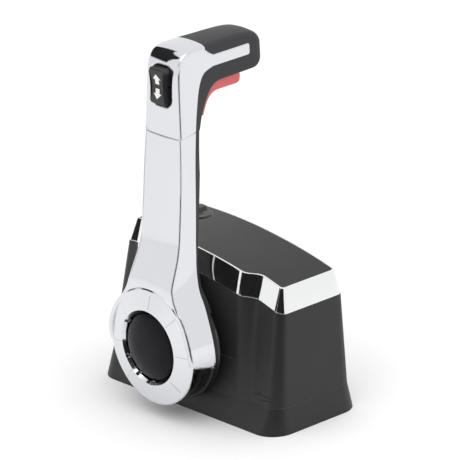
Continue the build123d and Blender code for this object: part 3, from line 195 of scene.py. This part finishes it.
def dress(finish, *names):
    """These CAD nodes keep their shape and take a finish."""
    for name in names:
        for own in nodes[name].material_slots:
            own.material = finish


housing_black = grained_plastic("housing_black", (0.017, 0.017, 0.018), rough=(0.44, 0.56),
                                grain=1400.0, depth=0.00006, specular=0.4)
rubber_black = grained_plastic("rubber_black", (0.020, 0.020, 0.020), rough=(0.70, 0.85),
                               grain=1100.0, depth=0.00008, specular=0.3)
dress(housing_black, "base", "upper_cover")
dress(rubber_black, "deck_gasket", "shaft_seal")

# The housing stays out of the plating's reflections.
for name in ("base", "chassis", "upper_cover", "lid_panel", "chrome_trim", "stop_bezel",
             "stop_plunger"):
    nodes[name].visible_glossy = False


# ---- Bright trim ------------------------------------------------------------------------------
# A moulded band, copper and chrome plated, clipped round the top of the casing.  It leans inwards
# and carries the thin bright lip that frames the lid.

def plating(name, colour, rough, ripple, edge):
    """Bright plate: nearly clean mirror, faint smears, and edges softened by the plate's build."""
    finish = plain_finish(name, colour, rough[0], 1.0)
    tree = finish.node_tree
    shader = tree.nodes["Principled BSDF"]
    place = wire(tree, "TexCoord", {}).outputs["Object"]
    smear = wire(tree, "TexNoise", {"Vector": place, "Scale": 46.0, "Detail": 6.0,
                                    "Roughness": 0.65})
    gloss = wire(tree, "MapRange", {"Value": smear.outputs["Fac"], "From Min": 0.42,
                                    "From Max": 0.72, "To Min": rough[0], "To Max": rough[1]})
    soften = wire(tree, "Bevel", {"Radius": edge})
    soften.samples = 6
    swell = wire(tree, "TexNoise", {"Vector": place, "Scale": 60.0, "Detail": 1.0})
    bump = wire(tree, "Bump", {"Height": swell.outputs["Fac"], "Strength": 0.3,
                               "Distance": ripple, "Normal": soften.outputs["Normal"]})
    tree.links.new(gloss.outputs["Result"], shader.inputs["Roughness"])
    tree.links.new(bump.outputs["Normal"], shader.inputs["Normal"])
    return finish


bright_trim = plating("bright_trim", (0.86, 0.865, 0.87), rough=(0.03, 0.07),
                      ripple=0.00001, edge=0.0006)
dress(bright_trim, "chrome_trim")


# ---- Lid and stop switch ----------------------------------------------------------------------
# The lid is a crowned panel, smoother than the casing, dropped into the trim.  The stop switch is
# a turned and moulded plunger under a block that a lanyard clip would grip, fixed by a nut below.

lid_satin = grained_plastic("lid_satin", (0.018, 0.018, 0.020), rough=(0.32, 0.42),
                            grain=2400.0, depth=0.00002, specular=0.28)
switch_black = grained_plastic("switch_black", (0.015, 0.015, 0.016), rough=(0.34, 0.44),
                               grain=2200.0, depth=0.00003)
dress(lid_satin, "lid_panel")
dress(switch_black, "stop_bezel", "stop_plunger", "neutral_switch")


# ---- Mechanism --------------------------------------------------------------------------------
# Zinc plated steel chassis and arms, oiled steel gears and shaft in bronze bushes, stainless
# screws.  All of it sits inside the casing and shows only when that is taken off.

zinc_plate = plating("zinc_plate", (0.62, 0.61, 0.56), rough=(0.26, 0.42),
                     ripple=0.00002, edge=0.0003)
shaft_steel = plating("steel", (0.56, 0.565, 0.575), rough=(0.20, 0.34),
                      ripple=0.00001, edge=0.0003)
gear_steel = plating("gear_steel", (0.40, 0.40, 0.41), rough=(0.28, 0.44),
                     ripple=0.00002, edge=0.0003)
screw_steel = plating("screw_steel", (0.60, 0.605, 0.61), rough=(0.18, 0.30),
                      ripple=0.00001, edge=0.0002)
spring_steel = plating("spring_steel", (0.45, 0.455, 0.465), rough=(0.24, 0.36),
                       ripple=0.00001, edge=0.0001)
bush_bronze = plating("bronze", (0.56, 0.38, 0.20), rough=(0.30, 0.45),
                      ripple=0.00002, edge=0.0003)
pin_brass = plating("brass_pin", (0.72, 0.56, 0.26), rough=(0.20, 0.32),
                    ripple=0.00001, edge=0.0003)
frame_cast = plating("frame_aluminium", (0.60, 0.605, 0.61), rough=(0.38, 0.55),
                     ripple=0.00004, edge=0.0005)
dress(zinc_plate, "chassis", "cable_anchor", "cable_clamp", "throttle_arm", "shift_arm")
dress(shaft_steel, "stop_nut", "detent_roller", "main_shaft", "shaft_collar", "detent_disc",
      "second_axle", "lock_rod", "rocker_pin")
dress(gear_steel, "drive_gear", "driven_gear")
dress(screw_steel, "cover_screws", "chassis_screws", "clamp_screw", "hub_nut", "lever_screws")
dress(spring_steel, "detent_spring", "button_spring", "trigger_spring")
dress(bush_bronze, "shaft_bushes")
dress(pin_brass, "throttle_pin", "shift_pin")
dress(frame_cast, "lever_frame")


# ---- Hub --------------------------------------------------------------------------------------
# A dark moulded drum carries the satin plated ring, which snaps into the bright skirt round it.
# The domed neutral button is polished black plastic and slides in the ring's neck.

hub_black = grained_plastic("hub_black", (0.010, 0.010, 0.011), rough=(0.36, 0.50),
                            grain=1800.0, depth=0.00003, specular=0.32)
satin_ring = plating("satin_ring", (0.72, 0.73, 0.76), rough=(0.09, 0.15),
                     ripple=0.00001, edge=0.0005)
button_gloss = grained_plastic("button_gloss", (0.006, 0.006, 0.008), rough=(0.30, 0.38),
                               grain=900.0, depth=0.00001, specular=0.12)
dress(hub_black, "hub_core")
dress(satin_ring, "hub_ring")
dress(button_gloss, "neutral_button")


# ---- Lever arm --------------------------------------------------------------------------------
# The arm's lower shell is one die-cast piece, polished and chromed; its bowed face and drafted
# sides meet in an edge that only the plate softens.  It flares forward where it meets the ring.

FLARE_TOP = 0.132
FLARE_FOOT = 0.097
FLARE_BACK = -0.050
FLARE_FRONT = -0.060
FLARE_REACH = 0.0072
FLARE_FINE = (0.012, 0.006, 0.0035)
FLARE_MARGIN = 0.012
MERGE_DISTANCE = 0.00002
SHARP_ANGLE = radians(32)


def ease(value, start, end):
    """How far a value has gone from start to end, kept between 0 and 1."""
    return min(max((value - start) / (end - start), 0.0), 1.0)


def node_copy(name, node):
    """A new piece with a CAD node's mesh, where that stands."""
    piece = bpy.data.objects.new(name, node.data.copy())
    scene.collection.objects.link(piece)
    piece.data.transform(node.matrix_world)
    return piece


def open_mesh(piece, merge=None):
    """The piece's mesh opened for work, corners closer than a distance merged."""
    shape = bmesh.new()
    shape.from_mesh(piece.data)
    if merge:
        bmesh.ops.remove_doubles(shape, verts=shape.verts, dist=merge)
    return shape


def close_mesh(piece, shape, finish):
    """The worked mesh put back: smooth but for its sharp edges, one finish on every face."""
    for face in shape.faces:
        face.smooth = True
        face.material_index = 0
    for edge in shape.edges:
        edge.smooth = len(edge.link_faces) == 2 and edge.calc_face_angle(0.0) < SHARP_ANGLE
    shape.to_mesh(piece.data)
    shape.free()
    piece.data.materials.clear()
    piece.data.materials.append(finish)


bright_cover = plating("bright_cover", (0.715, 0.725, 0.755), rough=(0.03, 0.06),
                       ripple=0.00001, edge=0.0022)
dress(bright_cover, "lever_lower_cover")
bright_arm = node_copy("bright_arm", nodes["lever_lower_cover"])
shape = open_mesh(bright_arm, MERGE_DISTANCE)
for length in FLARE_FINE:
    wide = [edge for edge in shape.edges if edge.calc_length() > length
            and min(v.co.z for v in edge.verts) < FLARE_TOP + FLARE_MARGIN]
    bmesh.ops.subdivide_edges(shape, edges=wide, cuts=1)
    bmesh.ops.triangulate(shape, faces=[face for face in shape.faces if len(face.verts) > 3])
for corner in shape.verts:
    down = ease(corner.co.z, FLARE_TOP, FLARE_FOOT)
    deep = ease(corner.co.x, FLARE_BACK, FLARE_FRONT)
    corner.co.x -= FLARE_REACH * down * down * (3 - 2 * down) * deep
close_mesh(bright_arm, shape, bright_cover)
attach(bright_arm, "lever")
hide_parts("lever_lower_cover")


# ---- Back of the arm --------------------------------------------------------------------------
# The arm's inner half is a dark moulded shell, held to the cast frame in the arm by four screws.
# Its foot draws in to the width of the drum.

DRAW_TOP = 0.106
DRAW_FOOT = 0.0794
DRAW_SHARE = 0.10

dark_back = node_copy("dark_back", nodes["lever_back_cover"])
shape = open_mesh(dark_back, MERGE_DISTANCE)
for corner in shape.verts:
    near = ease(corner.co.z, DRAW_TOP, DRAW_FOOT)
    corner.co.y *= 1 - DRAW_SHARE * near * near * (3 - 2 * near)
close_mesh(dark_back, shape, hub_black)
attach(dark_back, "lever")
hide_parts("lever_back_cover")


# ---- Head and grip ----------------------------------------------------------------------------
# The bright upper shell turns over into the cross grip.  Both follow one form, lofted through
# stations from the seam to the nose; the plated shell and its inlay strip are let into the dark
# moulded grip along a line that runs up the neck and along the side.

# Outlines and stations are written in millimetres.
MM = 0.001
# Each station: outer point x, z; inner point x, z; half width outside, half width inside;
# depth and width of the outer corner; radius of the inner corner; bow of the outer face.
HEAD_STATIONS = (
    (-49.4, 204.2, -24.9, 204.2, 18.7, 12.9, 0.8, 0.8, 1.2, 1.2),
    (-48.6, 217.0, -22.8, 214.5, 17.9, 13.6, 0.9, 0.9, 1.4, 1.2),
    (-47.9, 230.0, -19.2, 224.0, 17.3, 14.5, 0.9, 0.9, 1.8, 1.2),
    (-47.1, 241.5, -15.6, 230.6, 16.7, 15.1, 1.0, 1.0, 2.2, 1.2),
    (-46.2, 250.5, -12.4, 233.8, 16.3, 15.3, 1.1, 1.1, 2.4, 1.2),
    (-44.4, 257.4, -9.2, 235.4, 16.0, 15.4, 1.3, 1.4, 2.4, 1.2),
    (-40.6, 262.2, -5.6, 236.0, 15.8, 15.4, 1.6, 1.9, 2.4, 1.3),
    (-34.0, 264.6, -1.4, 236.1, 15.6, 15.4, 2.0, 2.6, 2.4, 1.5),
    (-22.5, 265.4, 4.0, 236.1, 15.4, 15.4, 2.6, 3.8, 2.4, 1.7),
    (-8.0, 265.4, 8.5, 236.2, 15.4, 15.4, 3.0, 4.6, 2.4, 1.8),
    (6.0, 265.2, 13.5, 236.2, 15.4, 15.4, 3.0, 4.6, 2.4, 1.8),
    (18.0, 264.6, 19.5, 236.3, 15.4, 15.4, 3.0, 4.6, 2.4, 1.8),
    (26.4, 263.2, 26.2, 236.5, 15.3, 15.3, 3.2, 4.8, 2.6, 1.6),
    (30.0, 261.4, 29.8, 237.7, 14.8, 14.8, 3.4, 4.8, 3.2, 1.4),
    (32.2, 258.6, 32.2, 240.0, 13.6, 13.6, 3.6, 4.8, 3.6, 1.1),
    (33.2, 255.4, 33.3, 242.8, 11.6, 11.6, 3.4, 4.4, 3.4, 0.8),
)
CURVE_STEPS = 8
INNER_STEPS = 6
SIDE_STEPS = 10
CORNER_STEPS = 12
FACE_STEPS = 8
TIP_STEPS = 6
# The line where bright shell meets dark grip, in side view: up the neck, then over the crown.
SEAM_EDGE = ((-30.4, 200.0), (-30.4, 204.2), (-28.6, 226.0), (-26.0, 238.0), (-21.5, 245.0),
             (-13.0, 248.0))
CROWN_EDGE = ((-11.9, 256.0), (-15.4, 258.0), (-18.4, 260.6), (-19.6, 263.4), (-19.8, 285.0))
SHELL_FRONT = -90.0
SHELL_TOP = 285.0
SHELL_FOOT = 200.0
STRIP_END_X = 21.0
STRIP_CORNER = 1.6
GRIP_GAP = 0.12
TOOL_HALF = 40.0
SAME_POINT = 0.000001


def through(points):
    """Evenly stepped smooth line through rows of numbers, ends included."""
    rows = []
    for i in range(len(points) - 1):
        a, b = points[max(i - 1, 0)], points[i]
        c, d = points[i + 1], points[min(i + 2, len(points) - 1)]
        for k in range(CURVE_STEPS):
            t = k / CURVE_STEPS
            rows.append([0.5 * (2 * q + (r - p) * t + (2 * p - 5 * q + 4 * r - s) * t * t
                                + (3 * q - p - 3 * r + s) * t ** 3)
                         for p, q, r, s in zip(a, b, c, d)])
    return rows + [list(points[-1])]


def head_ring(row):
    """One closed section of the head, from the inner edge round to the outer face and back."""
    ox, oz, ix, iz, wide, slim, deep, across, inner, bow = row
    reach = sqrt((ox - ix) ** 2 + (oz - iz) ** 2)
    ux, uz = (ox - ix) / reach, (oz - iz) / reach
    half = [(0.0, (slim - inner) * k / INNER_STEPS) for k in range(INNER_STEPS)]
    turns = [pi / 2 * k / INNER_STEPS for k in range(INNER_STEPS)]
    half += [(inner * (1 - cos(a)), slim - inner + inner * sin(a)) for a in turns]
    side = reach - deep - bow - inner
    half += [(inner + side * k / SIDE_STEPS, slim + (wide - slim) * k / SIDE_STEPS)
             for k in range(SIDE_STEPS)]
    turns = [pi / 2 * (1 - k / CORNER_STEPS) for k in range(CORNER_STEPS)]
    outer = [(wide - across + across * sin(a), deep * (1 - cos(a))) for a in turns]
    outer += [((wide - across) * (1 - k / FACE_STEPS), 0.0) for k in range(FACE_STEPS + 1)]
    half += [(reach - drop - bow * (v / wide) ** 2, v) for v, drop in outer]
    loop = half + [(u, -v) for u, v in reversed(half[1:-1])]
    return [((ix + ux * u) * MM, v * MM, (iz + uz * u) * MM) for u, v in loop]


def outward(thing):
    """The mesh's faces all made to point outwards."""
    shape = open_mesh(thing, SAME_POINT)
    bmesh.ops.recalc_face_normals(shape, faces=shape.faces)
    shape.to_mesh(thing.data)
    shape.free()
    return thing


def skin_mesh(name, rings):
    """A closed mesh through rings of equal length, its two ends capped."""
    count = len(rings[0])
    faces = []
    for i in range(len(rings) - 1):
        for k in range(count):
            j = (k + 1) % count
            faces.append((i * count + k, i * count + j, (i + 1) * count + j, (i + 1) * count + k))
    faces.append(tuple(reversed(range(count))))
    faces.append(tuple(range((len(rings) - 1) * count, len(rings) * count)))
    return outward(plain_mesh(name, [p for ring in rings for p in ring], faces))


def side_prism(name, outline, half):
    """A side-view outline carried right across the lever."""
    flat = [(x * MM, z * MM) for x, z in outline]
    count = len(flat)
    corners = [(x, -half * MM, z) for x, z in flat] + [(x, half * MM, z) for x, z in flat]
    faces = [tuple(range(count)), tuple(reversed(range(count, 2 * count)))]
    faces += [(k, k + count, (k + 1) % count + count, (k + 1) % count) for k in range(count)]
    return outward(plain_mesh(name, corners, faces))


def carve(thing, tool, operation):
    """thing cut by the tool, or kept only inside it; the tool is then gone."""
    cut = thing.modifiers.new("carve", "BOOLEAN")
    cut.object = tool
    cut.operation = operation
    cut.solver = "EXACT"
    bpy.context.view_layer.update()
    ready = thing.evaluated_get(bpy.context.evaluated_depsgraph_get())
    result = bpy.data.meshes.new_from_object(ready)
    thing.modifiers.clear()
    thing.data = result
    bpy.data.objects.remove(tool)


def bright_outline(gap):
    """Side view of the plated shell with its strip, grown by a gap."""
    edge = [(x + gap, z - gap) for x, z in through(SEAM_EDGE)]
    crown = [(x + gap, z + gap) for x, z in through(CROWN_EDGE)]
    r = STRIP_CORNER + gap
    middle = STRIP_END_X + gap - r
    low, high = edge[-1][1] + r, crown[0][1] - r
    turns = [pi / 2 * k / TIP_STEPS for k in range(TIP_STEPS + 1)]
    tip = [(middle + r * sin(a), low - r * cos(a)) for a in turns]
    tip += [(middle + r * cos(a), high + r * sin(a)) for a in turns]
    return edge + tip + crown + [(SHELL_FRONT, SHELL_TOP), (SHELL_FRONT, SHELL_FOOT)]


bright_head = skin_mesh("bright_head", [head_ring(row) for row in through(HEAD_STATIONS)])
grip_form = bright_head.copy()
grip_form.data = bright_head.data.copy()
grip_form.name = "hand_grip"
scene.collection.objects.link(grip_form)
carve(bright_head, side_prism("tool_bright", bright_outline(0.0), TOOL_HALF), "INTERSECT")
carve(grip_form, side_prism("tool_grip", bright_outline(GRIP_GAP), TOOL_HALF), "DIFFERENCE")

# The rocker's window in the bright face.
WINDOW_LOW = 224.6
WINDOW_HIGH = 253.8
WINDOW_HALF = 9.5
WINDOW_CORNER = 4.6
WINDOW_STEPS = 6
WINDOW_FRONT = -70.0
WINDOW_BACK = -36.0


def rounded_bar(name, gap, front, back):
    """A bar along X that fills the rocker's window but for a gap."""
    radius = WINDOW_CORNER - gap
    middle = WINDOW_HALF - gap - radius
    low, high = WINDOW_LOW + gap + radius, WINDOW_HIGH - gap - radius
    points = []
    for quarter, (cy, cz) in enumerate(((middle, high), (-middle, high), (-middle, low),
                                        (middle, low))):
        turns = [(quarter + k / WINDOW_STEPS) * pi / 2 for k in range(WINDOW_STEPS + 1)]
        points += [(cy + radius * cos(a), cz + radius * sin(a)) for a in turns]
    return skin_mesh(name, [[(x * MM, y * MM, z * MM) for y, z in points] for x in (front, back)])


# The slot that the lock trigger slides in, through the strip and up into the grip.
SLOT_FRONT = -25.2
SLOT_BACK = 16.0
SLOT_HALF = 12.0
STRIP_SLOT = (226.0, 249.6)
GRIP_SLOT = (200.0, 243.0)


def slot_bar(name, low, high):
    """The trigger slot's room between two heights."""
    outline = ((SLOT_FRONT, low), (SLOT_BACK, low), (SLOT_BACK, high), (SLOT_FRONT, high))
    return side_prism(name, outline, SLOT_HALF)


carve(bright_head, rounded_bar("tool_window", 0.0, WINDOW_FRONT, WINDOW_BACK), "DIFFERENCE")
carve(bright_head, slot_bar("tool_strip", *STRIP_SLOT), "DIFFERENCE")
carve(grip_form, slot_bar("tool_slot", *GRIP_SLOT), "DIFFERENCE")
grip_black = grained_plastic("grip_black", (0.034, 0.034, 0.037), rough=(0.46, 0.58),
                             grain=1600.0, depth=0.00005, specular=0.26)
close_mesh(bright_head, open_mesh(bright_head), bright_cover)
close_mesh(grip_form, open_mesh(grip_form), grip_black)
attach(bright_head, "lever")
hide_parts("lever_upper_cover", "grip_inlay")
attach(grip_form, "lever")
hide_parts("grip")


# ---- Trim rocker ------------------------------------------------------------------------------
# A two-way thumb rocker moulded in black, tipping in a dark cup let into the bright face.  Two
# white arrows, up and down, are printed on its ends as a thin film of ink.

CUP_GAP = 0.15
CUP_FRONT = -43.2
CUP_BACK = -36.2
ROCKER_FOOT = 0.2262
ROCKER_SHARE = 0.925
ROCKER_SLIM = 0.82
ROCKER_PIVOT_X = -0.0450
ROCKER_PROUD = 0.0018
ARROW = ((0.0, 9.0), (4.0, 5.2), (2.0, 5.2), (2.0, 1.6), (-2.0, 1.6), (-2.0, 5.2), (-4.0, 5.2))
ARROW_Z = 239.6
ARROW_CUTS = 5
ARROW_PROUD = 0.00006
PRESS_FROM_X = -0.08


def arrow(name, way):
    """One printed arrow: its outline cut fine and laid on the rocker's face from the front."""
    shape = bmesh.new()
    shape.faces.new([shape.verts.new((0.0, y * MM, (ARROW_Z + way * z) * MM)) for y, z in ARROW])
    shape.normal_update()
    bmesh.ops.triangulate(shape, faces=shape.faces, ngon_method="EAR_CLIP")
    bmesh.ops.subdivide_edges(shape, edges=shape.edges, cuts=ARROW_CUTS, use_grid_fill=True)
    for corner in shape.verts:
        start = Vector((PRESS_FROM_X, corner.co.y, corner.co.z))
        place = thumb_rocker.ray_cast(start, Vector((1.0, 0.0, 0.0)))[1]
        corner.co = place - Vector((ARROW_PROUD, 0.0, 0.0))
    mark = plain_mesh(name, [], [])
    shape.to_mesh(mark.data)
    shape.free()
    for face in mark.data.polygons:
        face.use_smooth = True
    if mark.data.polygons[0].normal.x > 0:
        mark.data.flip_normals()
    mark.data.materials.append(arrow_white)
    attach(mark, "trim_rocker")


rocker_black = grained_plastic("rocker_black", (0.014, 0.014, 0.015), rough=(0.32, 0.42),
                               grain=2200.0, depth=0.00003)
arrow_white = grained_plastic("arrow_white", (0.80, 0.80, 0.79), rough=(0.45, 0.55),
                              grain=2600.0, depth=0.00001)
cup = rounded_bar("dark_cup", CUP_GAP, CUP_FRONT, CUP_BACK)
close_mesh(cup, open_mesh(cup), hub_black)
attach(cup, "lever")
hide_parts("rocker_cup")
thumb_rocker = outward(node_copy("thumb_rocker", nodes["trim_rocker"]))
for corner in thumb_rocker.data.vertices:
    corner.co.z = ROCKER_FOOT + (corner.co.z - ROCKER_FOOT) * ROCKER_SHARE
    corner.co.y *= ROCKER_SLIM
    if corner.co.x < ROCKER_PIVOT_X:
        corner.co.x -= ROCKER_PROUD
close_mesh(thumb_rocker, open_mesh(thumb_rocker), rocker_black)
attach(thumb_rocker, "trim_rocker")
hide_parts("trim_rocker")
bpy.context.view_layer.update()
arrow("arrow_up", 1)
arrow("arrow_down", -1)


# ---- Lock trigger -----------------------------------------------------------------------------
# A red moulded trigger slides in a slot under the grip, pushed down by a spring.  Lifting it
# draws the lock rod up and frees the lever from neutral.

trigger_red = grained_plastic("trigger_red", (0.60, 0.115, 0.115), rough=(0.40, 0.50),
                              grain=1500.0, depth=0.00004)
dress(trigger_red, "lock_trigger")
